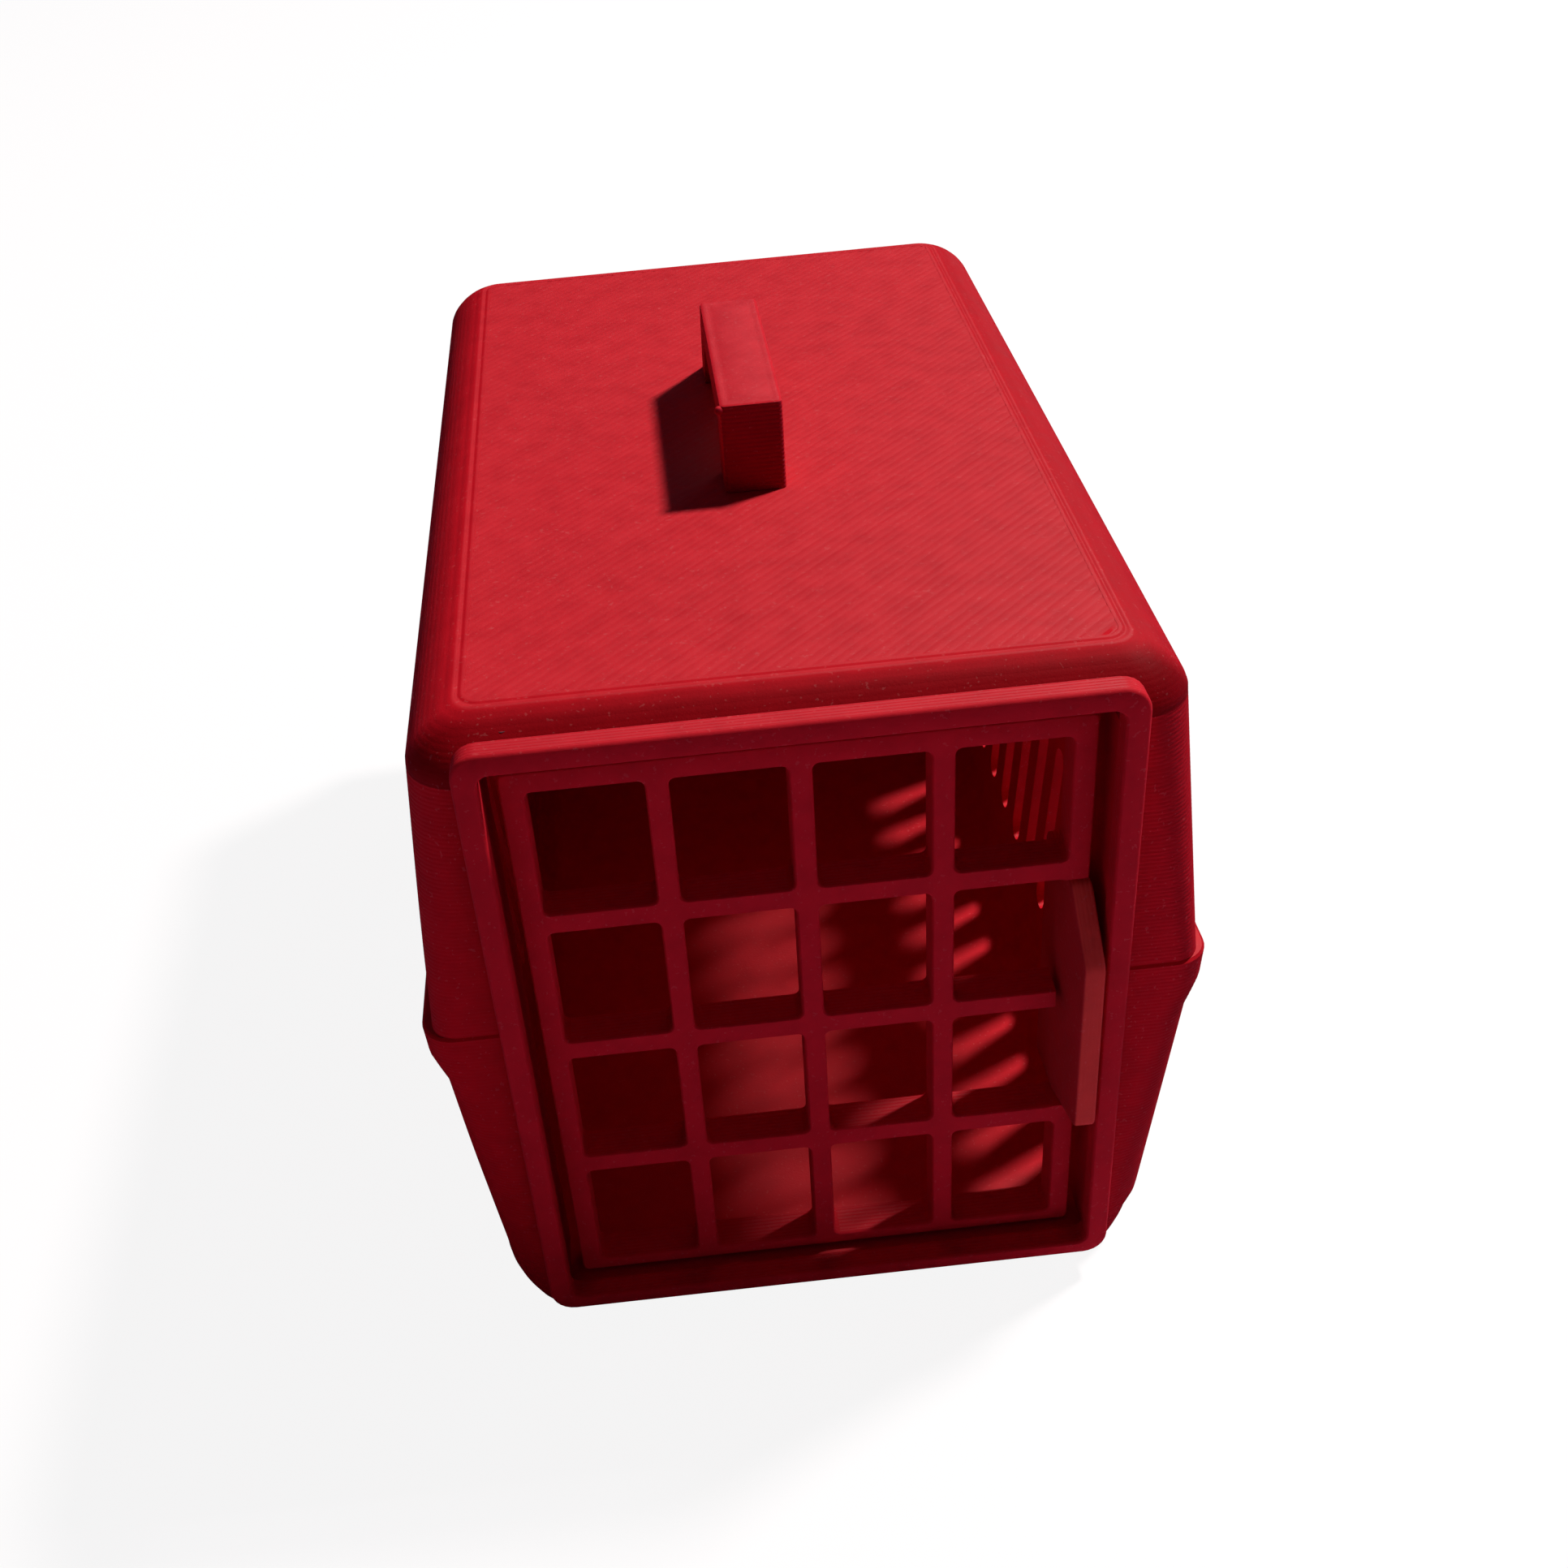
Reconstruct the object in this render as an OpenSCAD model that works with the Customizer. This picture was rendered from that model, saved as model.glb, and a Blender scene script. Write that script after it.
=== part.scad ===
// Miniature pet carrier: two vented half shells that meet at a lipped seam,
// a one-piece surround round the doorway, a grille door on wire hinge pins,
// a rocking latch lever in the door's free stile, and a bar handle on the roof.
// Units are millimetres. +X is to the right, -Y is the door side and +Z is up.
// The origin is the centre of the rest face.

/* [Body] */
// Depth of the shells, front to back
body_d = 51.4; // [48:0.2:56]
// Width across the base
base_w = 30.7; // [30:0.1:31.4]
// Width of the lower shell's wall at the seam
belt_w = 33.9; // [33.6:0.1:34.1]
// Width of the upper shell at the seam
seam_w = 33.5; // [33:0.1:33.8]
// Width of the upper shell at the roof
roof_w = 30.6; // [30.2:0.1:31]
// Height of the seam between the shells
seam_z = 18.0; // [17:0.25:19.5]
// Height of the roof
roof_z = 33.0; // [32.6:0.1:33.4]
// Wall, floor and roof thickness
wall = 1.2; // [1:0.1:1.4]
// How far the back wall leans in over each shell's height
back_lean = 1.4; // [0.6:0.1:2]

/* [Rounding] */
// Radius of the upright corners
corner_r = 2.5; // [2.2:0.1:3]
// Radius round the edge of the roof
roof_r = 2.3; // [2:0.1:2.5]
// Radius round the edge of the base
base_r = 2.8; // [2.2:0.1:3]
// Chamfer round the front of the base
front_edge = 0.4; // [0.2:0.1:0.6]

/* [Seam lip] */
// Width across the lip round the seam
lip_w = 34.5; // [34.3:0.1:35.2]
// Height of the lip's upright edge
lip_h = 1; // [0.6:0.1:1.2]
// Height of the slope under the lip
lip_slope = 0.9; // [0.5:0.1:1.2]

/* [Doorway] */
// Width of the doorway through the shells
doorway_w = 24.5; // [24.3:0.1:24.7]
// How far the doorway sits to the right of the body's middle
doorway_x = -0.15; // [-0.2:0.05:0]
// Height of the sill
sill_z = 1.85; // [1.8:0.05:1.9]
// Height of the head of the doorway
head_z = 31.4; // [31.3:0.05:31.5]
// Depth of the door posts, front to back
post_d = 2.8; // [2.6:0.1:2.9]

/* [Surround] */
// Outside width of the surround
surround_w = 26.3; // [26:0.1:26.8]
// Outside height of the surround
surround_h = 31.65; // [31.4:0.05:31.8]
// Height of the surround's foot above the rest face
surround_z = 1.2; // [1.1:0.05:1.25]
// Width of the surround's bars
surround_bar = 0.97; // [0.9:0.01:1]
// Height of the surround's foot bar
surround_foot = 0.75; // [0.65:0.05:0.75]
// How far the surround stands out of the shells
surround_t = 1.13; // [0.8:0.01:1.3]

/* [Door] */
// Width of the door
door_w = 23.2; // [23:0.1:23.3]
// Height of the foot of the door
door_z = 2.05; // [2.05:0.05:2.15]
// Height of the door
door_h = 28.85; // [28.7:0.05:28.9]
// Thickness of the door
door_t = 1.65; // [1.5:0.05:1.7]
// How far the door is set back behind the front of the shells
door_setback = 0.4; // [0.35:0.05:0.45]
// Width of the door's upright bars and stiles
bar_w = 0.92; // [0.85:0.01:0.98]
// Height of the door's cross bars and head
cross_w = 1; // [0.9:0.05:1.1]
// Height of the door's foot bar
door_foot = 0.65; // [0.6:0.05:0.8]
// Openings across and openings up
grille_n = 4; // [4]
// Radius in the corners of the openings
grille_r = 0.3; // [0.2:0.05:0.4]

/* [Latch] */
// How far the lever stands out in front of the door
lever_front = 1.95; // [1.8:0.05:2]
// How far the lever reaches behind the front of the door
lever_back = 3.75; // [3.7:0.05:3.9]
// Height over which the lever's front edge slopes out
lever_slope = 3.2; // [2:0.1:4]
// How far the lever's front edge is set over towards the surround
lever_set = 0.42; // [0.2:0.02:0.44]
// Gap at each end of the lever
lever_gap = 0.15; // [0.1:0.01:0.2]
// How far the lever's hook reaches past its side
hook_reach = 0.45; // [0.35:0.05:0.45]
// Height of the hook
hook_h = 5; // [4:0.5:8]

/* [Pins] */
// Diameter of the wire pins
wire_d = 0.5; // [0.45:0.01:0.55]
// Diameter of a hole that a wire pin turns in
wire_run_d = 0.56; // [0.56:0.01:0.6]
// Diameter of the dowels between the shells
dowel_d = 1.75; // [1.5:0.05:1.8]
// Length of the dowels
dowel_l = 8; // [6:0.5:10]

/* [Vents] */
// Number of slots in the lower row
vent_low_n = 11; // [7:1:11]
// Number of slots in the upper row
vent_high_n = 9; // [7:1:11]
// Distance between slots
vent_pitch = 3.2; // [3:0.02:3.3]
// Width of a slot
vent_w = 1.6; // [1:0.1:1.8]
// Place of the slot nearest the door, from the front
vent_first = 7.15; // [6.4:0.05:8]
// Foot and head of the lower row of slots
vent_low = [5.1, 15.4]; // [4.8:0.1:16.3]
// Foot and head of the upper row of slots
vent_high = [21, 30.3]; // [19.5:0.1:30.5]

/* [Handle] */
// Length of the handle's top, front to back
handle_l = 12.6; // [11:0.2:14]
// How far the handle's back leg rakes out behind its top
handle_rake = 2.3; // [0:0.1:2.6]
// Width of the handle
handle_w = 2.8; // [2.4:0.1:3.2]
// Height of the handle above the roof
handle_h = 4.2; // [3.8:0.1:4.6]
// Thickness of the handle's bar
handle_bar = 1.5; // [1.3:0.1:1.8]
// Length of each of the handle's legs
handle_leg = 2.3; // [2:0.1:2.6]
// How far the handle's top sits ahead of the body's middle
handle_ahead = 1.6; // [0:0.1:2]
// Width of the square tenons under the legs
tenon_w = 1.6; // [1.4:0.1:1.8]

/* [Hidden] */
eps = 0.01;
$fn = 32;

front_y = -body_d/2;
back_y = body_d/2;

// Door plane and openings
door_y = front_y + door_setback;
door_mid_y = door_y + door_t/2;
door_top_z = door_z + door_h;
cell_w = (door_w - (grille_n + 1)*bar_w)/grille_n;
cell_h = (door_h - grille_n*cross_w - door_foot)/grille_n;
cell_x0 = doorway_x - door_w/2 + bar_w;
cell_z0 = door_z + door_foot;

// The hinge axis is in the left stile and the latch axis in the right one
hinge_x = doorway_x - door_w/2 + bar_w/2;
latch_x = doorway_x + door_w/2 - bar_w/2;

// The lever stands between the first and third cross bars
lever_z0 = cell_z0 + cell_h + cross_w + lever_gap;
lever_z1 = cell_z0 + 3*cell_h + 2*cross_w - lever_gap;
hook_z = (lever_z0 + lever_z1)/2 - 1;
hook_y = door_y + 3;
hook_back = 0.25;
// The middle cross bar ends short of the lever by this much
bar_end_gap = 0.22;

// Wire pins
pin_socket = 1.05;
hinge_grip = 2.1;
pin_end_gap = 0.1;
latch_grip = 2;
latch_pin_z0 = door_z + 0.3;
peg_l = 1.9;
peg_in_surround = 0.6;
peg_x = surround_w/2 - surround_bar/2;
peg_zs = [5, 28];
surround_r = 1.1;
surround_inner_r = 0.5;

// Dowels stand in the door posts and in posts in the back corners
back_post = 4;
dowel_front_y = front_y + 1.4;
dowel_back_y = back_y - wall - 2;
dowel_x = 13.7;

rear_post_x = 12.1;
handle_front_y = -handle_ahead - handle_l/2;
handle_back_y = -handle_ahead + handle_l/2;
tenon_ys = [handle_front_y + handle_leg/2, handle_back_y + handle_rake - handle_leg/2];

// Rectangle with rounded corners, centred, made of true arcs
module rounded_rect(w, h, r) {
    square([w - 2*r, h], center = true);
    square([w, h - 2*r], center = true);
    for (sx = [-1, 1], sy = [-1, 1])
        translate([sx*(w/2 - r), sy*(h/2 - r)])
            circle(r);
}

// Upright round wire from z0 to z1
module wire(x, y, z0, z1, d = wire_d) {
    translate([x, y, z0])
        cylinder(d = d, h = z1 - z0, $fn = 24);
}

// Solid form of the upper shell, pulled in by inset on every side but the seam
module upper_form(inset) {
    hull() {
        for (sx = [-1, 1]) {
            for (y = [front_y + corner_r, back_y - corner_r])
                translate([sx*(seam_w/2 - corner_r), y, seam_z - (inset > 0 ? eps : 0)])
                    cylinder(r = corner_r - inset, h = eps);
            for (y = [front_y + roof_r, back_y - back_lean - roof_r])
                translate([sx*(roof_w/2 - roof_r), y, roof_z - roof_r])
                    sphere(r = roof_r - inset);
        }
    }
}

// Solid form of the lower shell's walls and floor, pulled in by inset
module lower_form(inset) {
    hull() {
        for (sx = [-1, 1]) {
            for (y = [front_y + corner_r, back_y - corner_r])
                translate([sx*(belt_w/2 - corner_r), y, seam_z - (inset > 0 ? 0 : eps)])
                    cylinder(r = corner_r - inset, h = eps);
            translate([sx*(base_w/2 - base_r), front_y + inset, base_r])
                rotate([-90, 0, 0])
                    cylinder(r1 = base_r - inset - front_edge, r2 = base_r - inset, h = front_edge);
            translate([sx*(base_w/2 - base_r), back_y - back_lean - base_r, base_r])
                sphere(r = base_r - inset);
        }
    }
}

// Lip round the top of the lower shell, flush with the front
module seam_lip() {
    lip_d = body_d + (lip_w - belt_w)/2;
    lip_y = front_y + lip_d/2;
    translate([0, lip_y, seam_z - lip_h])
        linear_extrude(lip_h)
            rounded_rect(lip_w, lip_d, corner_r);
    hull() {
        translate([0, lip_y, seam_z - lip_h])
            linear_extrude(eps)
                rounded_rect(lip_w, lip_d, corner_r);
        translate([0, 0, seam_z - lip_h - lip_slope])
            linear_extrude(eps)
                rounded_rect(belt_w - 0.2, body_d, corner_r);
    }
}

// Blocks that thicken the shells beside the doorway and in the back corners
module posts(z0, z1) {
    for (sx = [-1, 1]) {
        translate([doorway_x + sx*(doorway_w/2 + 3), front_y + post_d/2, (z0 + z1)/2])
            cube([6, post_d, z1 - z0], center = true);
        translate([sx*(rear_post_x + 3), back_y - back_post/2 - wall + 0.5, (z0 + z1)/2])
            cube([6, back_post, z1 - z0], center = true);
    }
}

// The doorway, cut through the front of both shells
module doorway() {
    translate([doorway_x - doorway_w/2, front_y - 1, sill_z])
        cube([doorway_w, post_d + 1.2, head_z - sill_z]);
}

// One row of n upright slots, cut through both side walls
module vent_row(span, n) {
    slot_l = span[1] - span[0];
    for (i = [0 : n - 1])
        translate([0, front_y + vent_first + i*vent_pitch, (span[0] + span[1])/2])
            rotate([90, 0, 90])
                linear_extrude(2*belt_w, center = true)
                    rounded_rect(vent_w, slot_l, vent_w/2 - eps);
}

// Every dowel, or every dowel hole
module dowel_set() {
    for (sx = [-1, 1], y = [dowel_front_y, dowel_back_y])
        translate([sx*dowel_x, y, seam_z - dowel_l/2])
            cylinder(d = dowel_d, h = dowel_l);
}

// Every peg that holds the surround, or every peg hole
module peg_set() {
    for (sx = [-1, 1], z = peg_zs)
        translate([doorway_x + sx*peg_x, front_y - peg_in_surround, z])
            rotate([-90, 0, 0])
                cylinder(d = wire_d, h = peg_l, $fn = 24);
}

// Square tenons under the handle's legs, or their mortises
module tenon_set() {
    for (y = tenon_ys)
        translate([0, y, roof_z - wall/2])
            cube([tenon_w, tenon_w, wall + 2*eps], center = true);
}

module lower_shell() {
    color([0.63, 0.10, 0.11])
    difference() {
        union() {
            lower_form(0);
            seam_lip();
        }
        difference() {
            lower_form(wall);
            posts(0, seam_z + 1);
            // Sill under the doorway, which takes the lower hinge pin
            translate([doorway_x - doorway_w/2, front_y, 0])
                cube([doorway_w, post_d, sill_z]);
        }
        doorway();
        vent_row(vent_low, vent_low_n);
        dowel_set();
        peg_set();
        wire(hinge_x, door_mid_y, sill_z - pin_socket, sill_z + eps);
    }
}

module upper_shell() {
    color([0.66, 0.11, 0.12])
    difference() {
        upper_form(0);
        difference() {
            upper_form(wall);
            posts(seam_z - 1, roof_z);
            // Head over the doorway, which takes the upper hinge pin
            translate([doorway_x - doorway_w/2, front_y, head_z])
                cube([doorway_w, post_d, roof_z - head_z]);
        }
        doorway();
        vent_row(vent_high, vent_high_n);
        dowel_set();
        peg_set();
        tenon_set();
        wire(hinge_x, door_mid_y, head_z - eps, head_z + pin_socket);
    }
}

module front_surround() {
    inner_w = surround_w - 2*surround_bar;
    inner_h = surround_h - surround_bar - surround_foot;
    color([0.68, 0.14, 0.14])
    difference() {
        translate([doorway_x, front_y, surround_z])
            rotate([90, 0, 0])
                linear_extrude(surround_t)
                    difference() {
                        translate([0, surround_h/2])
                            rounded_rect(surround_w, surround_h, surround_r);
                        translate([0, surround_foot + inner_h/2])
                            rounded_rect(inner_w, inner_h, surround_inner_r);
                    }
        peg_set();
    }
}

module door_grille() {
    window_x0 = latch_x - bar_w/2 - bar_end_gap;
    window_z0 = lever_z0 - lever_gap;
    window_z1 = lever_z1 + lever_gap;
    color([0.62, 0.12, 0.12])
    difference() {
        translate([0, door_y + door_t, 0])
            rotate([90, 0, 0])
                linear_extrude(door_t)
                    difference() {
                        translate([doorway_x, door_z + door_h/2])
                            rounded_rect(door_w, door_h, grille_r);
                        for (i = [0 : grille_n - 1], j = [0 : grille_n - 1])
                            translate([cell_x0 + cell_w/2 + i*(cell_w + bar_w),
                                       cell_z0 + cell_h/2 + j*(cell_h + cross_w)])
                                rounded_rect(cell_w, cell_h, grille_r);
                        // The lever takes the place of the stile here
                        translate([window_x0, window_z0])
                            square([door_w, window_z1 - window_z0]);
                    }
        wire(hinge_x, door_mid_y, door_z - eps, door_z + hinge_grip, wire_run_d);
        wire(hinge_x, door_mid_y, door_top_z - hinge_grip, door_top_z + eps, wire_run_d);
        wire(latch_x, door_mid_y, door_z - eps, window_z1 + latch_grip);
    }
}

module upper_hinge_pin() {
    color([0.75, 0.76, 0.78])
    wire(hinge_x, door_mid_y, door_top_z - hinge_grip + pin_end_gap, head_z + pin_socket);
}

module lower_hinge_pin() {
    color([0.75, 0.76, 0.78])
    wire(hinge_x, door_mid_y, sill_z - pin_socket, door_z + hinge_grip - pin_end_gap);
}

module latch_pivot_pin() {
    color([0.75, 0.76, 0.78])
    wire(latch_x, door_mid_y, latch_pin_z0, lever_z1 + lever_gap + latch_grip);
}

// The lever's side view: its front edge slopes out from the door's plane and then drops
module lever_side() {
    y0 = door_y - lever_front;
    y1 = door_y + lever_back;
    polygon([[door_y, lever_z1], [y0, lever_z1 - lever_slope], [y0, lever_z0],
             [y1, lever_z0], [y1, lever_z1]]);
}

// The lever's plan: a strip that bears over towards the surround ahead of its pivot
module lever_plan() {
    y0 = door_y - lever_front;
    y1 = door_y + lever_back;
    polygon([[latch_x - bar_w/2 + lever_set, y0], [latch_x + bar_w/2 + lever_set, y0],
             [latch_x + bar_w/2, door_mid_y], [latch_x + bar_w/2, y1],
             [latch_x - bar_w/2, y1], [latch_x - bar_w/2, door_mid_y]]);
}

module latch_lever() {
    side = latch_x + bar_w/2;
    color([0.70, 0.22, 0.17])
    difference() {
        union() {
            intersection() {
                translate([latch_x, 0, 0])
                    rotate([90, 0, 90])
                        linear_extrude(4*bar_w, center = true)
                            lever_side();
                translate([0, 0, lever_z0 - 1])
                    linear_extrude(lever_z1 - lever_z0 + 2)
                        lever_plan();
            }
            // Hook that swings behind the door post
            translate([0, 0, hook_z])
                linear_extrude(hook_h)
                    polygon([[latch_x, hook_y], [side + hook_reach, hook_y],
                             [side + hook_reach - hook_back, door_y + lever_back],
                             [latch_x, door_y + lever_back]]);
        }
        wire(latch_x, door_mid_y, lever_z0 - 1, lever_z1 + 1, wire_run_d);
    }
}

// The handle's side view: an upright front leg, a level bar and a raked back leg
module handle_side() {
    grip_h = handle_h - handle_bar;
    grip_rake = handle_rake*grip_h/handle_h;
    y0 = handle_front_y;
    y1 = handle_back_y;
    difference() {
        polygon([[y0, 0], [y1 + handle_rake, 0], [y1, handle_h], [y0, handle_h]]);
        polygon([[y0 + handle_leg, -eps], [y1 + handle_rake - handle_leg, -eps],
                 [y1 + handle_rake - handle_leg - grip_rake, grip_h], [y0 + handle_leg, grip_h]]);
    }
}

module carry_handle() {
    color([0.70, 0.13, 0.13])
    union() {
        translate([0, 0, roof_z])
            rotate([90, 0, 90])
                linear_extrude(handle_w, center = true)
                    handle_side();
        tenon_set();
    }
}

module shell_dowels() {
    color([0.60, 0.10, 0.11])
    dowel_set();
}

module surround_pegs() {
    color([0.75, 0.76, 0.78])
    peg_set();
}

lower_shell();
upper_shell();
front_surround();
door_grille();
upper_hinge_pin();
lower_hinge_pin();
latch_lever();
latch_pivot_pin();
carry_handle();
shell_dowels();
surround_pegs();
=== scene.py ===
"""Looks of the miniature printed pet carrier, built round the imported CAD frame.

Every length is in millimetres until it goes into a mesh. The origin is the
middle of the rest face, -Y is the door side and +Z is up.
"""

import math
import random

import bmesh
import bpy
from mathutils import Euler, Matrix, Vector


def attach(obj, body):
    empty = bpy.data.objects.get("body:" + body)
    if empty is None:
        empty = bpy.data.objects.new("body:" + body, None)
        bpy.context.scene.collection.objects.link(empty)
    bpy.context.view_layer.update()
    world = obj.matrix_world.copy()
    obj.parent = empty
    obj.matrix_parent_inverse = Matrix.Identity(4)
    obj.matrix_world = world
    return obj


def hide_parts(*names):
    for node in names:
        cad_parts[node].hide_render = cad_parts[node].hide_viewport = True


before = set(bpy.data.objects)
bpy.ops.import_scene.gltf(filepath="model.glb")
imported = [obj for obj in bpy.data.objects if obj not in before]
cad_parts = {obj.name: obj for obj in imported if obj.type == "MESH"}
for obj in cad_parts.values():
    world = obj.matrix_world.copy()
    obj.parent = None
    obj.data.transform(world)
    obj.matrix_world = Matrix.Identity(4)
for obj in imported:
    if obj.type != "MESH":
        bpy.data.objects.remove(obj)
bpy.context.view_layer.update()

MM = 0.001
SEED = 7

# Shells, whose widths and lip are taken from the silhouette and so differ a little from the CAD's
BODY_D = 51.4
BASE_W = 30.7
BELT_W = 33.1
SEAM_W = 32.9
ROOF_W = 30.6
SEAM_Z = 18.0
ROOF_Z = 33.0
WALL = 1.2
BACK_LEAN = 1.4
CORNER_R = 1.1
ROOF_R = 2.3
ROOF_POWER = 1.5
FRONT_POWER = 1.7
RIM_CORNER = 0.9
ROUND_Z = ROOF_Z - ROOF_R
BASE_R = 2.8
FRONT_EDGE = 0.4
LIP_W = 33.84
LIP_H = 1.6
LIP_SLOPE = 1.4
LIP_BACK = 0.3
SEAM_DRAW = 0.12
SEAM_DRAW_Z = 16.5
SEAM_DRAW_SPREAD = 5.0
BASE_DRAW = 0.33
BASE_DRAW_Z = 2.8
BASE_DRAW_DROP = 1.2
DRAW_FULL_X = 12.0
FRONT_Y = -BODY_D / 2
BACK_Y = BODY_D / 2

# Doorway, posts and sill
DOORWAY_X = -0.15
DOORWAY_W = 24.5
SILL_Z = 1.85
HEAD_Z = 31.4
POST_D = 2.8
POST_HALF_W = 3.0
BACK_POST_D = 4.0
BACK_POST_X = 12.1

# Surround
SURROUND_W = 26.3
SURROUND_H = 31.65
SURROUND_Z = 1.2
SURROUND_BAR = 0.97
SURROUND_FOOT = 0.75
SURROUND_T = 1.13
SURROUND_R = 1.1
SURROUND_INNER_R = 0.5
SURROUND_EASE = 0.14
SURROUND_INNER_EASE = 0.12

# Door
DOOR_W = 23.2
DOOR_Z = 2.05
DOOR_H = 28.85
DOOR_T = 1.65
DOOR_Y = FRONT_Y + 0.4
BAR_W = 0.92
CROSS_W = 1.0
DOOR_FOOT = 0.65
DOOR_EASE = 0.10
GRILLE_N = 4
CELL_R = 0.3
CELL_W = (DOOR_W - (GRILLE_N + 1) * BAR_W) / GRILLE_N
CELL_H = (DOOR_H - GRILLE_N * CROSS_W - DOOR_FOOT) / GRILLE_N
CELL_X0 = DOORWAY_X - DOOR_W / 2 + BAR_W
CELL_Z0 = DOOR_Z + DOOR_FOOT
DOOR_MID_Y = DOOR_Y + DOOR_T / 2
HINGE_X = DOORWAY_X - DOOR_W / 2 + BAR_W / 2
LATCH_X = DOORWAY_X + DOOR_W / 2 - BAR_W / 2

# Latch lever
LEVER_FRONT = 1.95
LEVER_BACK = 3.75
LEVER_SLOPE = 3.2
LEVER_SET = 0.42
LEVER_LIFT = 0.35
LEVER_GAP = 0.15
LEVER_EASE = 0.1
LEVER_CORNER = 0.3
LEVER_LINES = 5
LEVER_Z0 = CELL_Z0 + CELL_H + CROSS_W + LEVER_GAP
LEVER_Z1 = CELL_Z0 + 3 * CELL_H + 2 * CROSS_W - LEVER_GAP
HOOK_REACH = 0.45
HOOK_H = 5.0
HOOK_Z = (LEVER_Z0 + LEVER_Z1) / 2 - 1
HOOK_Y = DOOR_Y + 3
HOOK_BACK = 0.25
HOOK_EASE = 0.06
HOOK_SINK = 0.04
BAR_END_GAP = 0.22

# Pins, dowels and pegs
WIRE_D = 0.5
WIRE_RUN_D = 0.56
PIN_SOCKET = 1.05
PIN_TOP = 0.96
HINGE_GRIP = 2.1
LATCH_GRIP = 2.0
DOWEL_D = 1.75
DOWEL_L = 8.0
DOWEL_X = 13.7
DOWEL_YS = (FRONT_Y + 1.4, BACK_Y - WALL - 2)
PEG_X = SURROUND_W / 2 - SURROUND_BAR / 2
PEG_ZS = (5, 28)
PEG_IN_SURROUND = 0.6
PEG_L = 1.9

# Vents
VENT_LOW_N = 11
VENT_HIGH_N = 9
VENT_PITCH = 3.2
VENT_W = 1.6
VENT_FIRST = 7.15
VENT_LOW = (5.1, 15.4)
VENT_HIGH = (21.0, 30.3)

# Handle
HANDLE_L = 12.6
HANDLE_W = 2.8
HANDLE_H = 4.2
HANDLE_BAR = 1.5
HANDLE_LEG = 2.3
HANDLE_RAKE = 2.3
HANDLE_Y = -1.6
HANDLE_EDGE_R = 0.25
HANDLE_TOP_EASE = 0.10
HANDLE_FRONT_Y = HANDLE_Y - HANDLE_L / 2
HANDLE_BACK_Y = HANDLE_Y + HANDLE_L / 2
TENON_W = 1.6
TENON_YS = (HANDLE_FRONT_Y + HANDLE_LEG / 2, HANDLE_BACK_Y + HANDLE_RAKE - HANDLE_LEG / 2)

# Print: a groove between layers, or across the seam, is its depth and the height over which it closes
LAYER = 0.2
NICK_AT = 0.002
GROOVE = (0.014, 0.05)
GROOVE_TOP = (0.003, 0.05)
GROOVE_SEAM = (0.12, 0.11)
PLATE_GROOVE = 0.8 * GROOVE[0]
PLATE_GROOVE_HALF = 0.03
LINE = 0.43
RIM = 0.3
RIM_DROP = 0.07
RIM_TUCK = 0.05
CROWN_LAYERS = 2
CROWN_STEPS = 16
RIM_GROOVES = ((0.0, 0.05), (0.52, 0.015))
RIM_GROOVE_W = 0.11

# Roof raster: one bead is (place across it as a share of its width, drop below the roof)
RASTER_TURN = math.radians(45)
RASTER_REACH = 34.0
RASTER_STEPS = 60
RASTER_UNDER = 0.12
RASTER_OVER_RIM = 0.06
RASTER_UNEVEN = 0.006
BEAD = ((-0.5, -0.011), (-0.34, -0.004), (-0.16, 0.0), (0.16, 0.0), (0.34, -0.004))

# Handle's top: one outline bead and the fill inside it, as (set in, drop), and a blob where a line began
HANDLE_BEADS = ((0.22, 0.02), (0.32, 0.015), (LINE, 0.03), (0.54, 0.0))
BLOB_R = 0.2
BLOB_PLACE = (-HANDLE_W / 2 - 0.02, HANDLE_FRONT_Y + 0.12, ROOF_Z + HANDLE_H - 0.25)

# Cutters reach this far past the face they cut. Points nearer than MERGE become one
PAST = 0.01
MERGE = 0.002

# Plastic, and the painted light and painted shade multiplied into some of its colours
SHELL_TONE = (0.55, 0.007, 0.016)
TRIM_TONE = (0.56, 0.014, 0.025)
# The lever's tone is the trim red made lighter: painted light, for the light that the lever's edge catches
# beyond the surround
LEVER_TONE_WITH_PAINTED_LIGHT = (0.69, 0.075, 0.05)
DUST_TONE = (0.85, 0.42, 0.40)
# Painted shade, multiplied into the red in the crevice above the shell's front rounding
PAINTED_CREVICE_SHADE = (0.5, 0.2, 0.35)
# Painted shade on the shell's faces that turn to the right, towards the key, holding their light down
PAINTED_RIGHT_SIDE_SHADE = (0.74, 0.6, 0.7)
# Painted shade on the handle's front faces
PAINTED_HANDLE_FRONT_SHADE = (0.55, 0.6, 0.9)
# Painted shade on the lever's left sides, away from the key
PAINTED_LEVER_LEFT_SIDE_SHADE = (0.62, 0.3, 0.5)
CLOUD_SHADE = (0.94, 0.92, 0.92)

# Camera, as the photograph was taken
CAMERA_PLACE = (-4.88, -81.55, 69.36)
CAMERA_HEADING = 1.77
CAMERA_PITCH = 36.99
CAMERA_ROLL = -4.91
CAMERA_LENS = 41.14
CAMERA_SHIFT = (0.0356, 0.0324)

# Light, with places and sizes in metres
AIM = (0, 0, 0.015)
KEY_WAY = (0.65, 0.30, 1.0)
KEY_FAR = 0.6
WHITE = (1.0, 1.0, 1.0)
FILL_TINT = (1, 0.45, 0.85)
FILL = 0.055
FLOOR_REACH = 1.5
FLOOR_TONE = (0.10, 0.09, 0.09)
FLOOR_GLOW = 0.9
FLOOR_BOUNCE = (0.65, 0.36, 0.62)
FLOOR_IN_GLOSS = (0.03, 0.01, 0.02)


# ---------------------------------------------------------------- mesh tools

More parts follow.
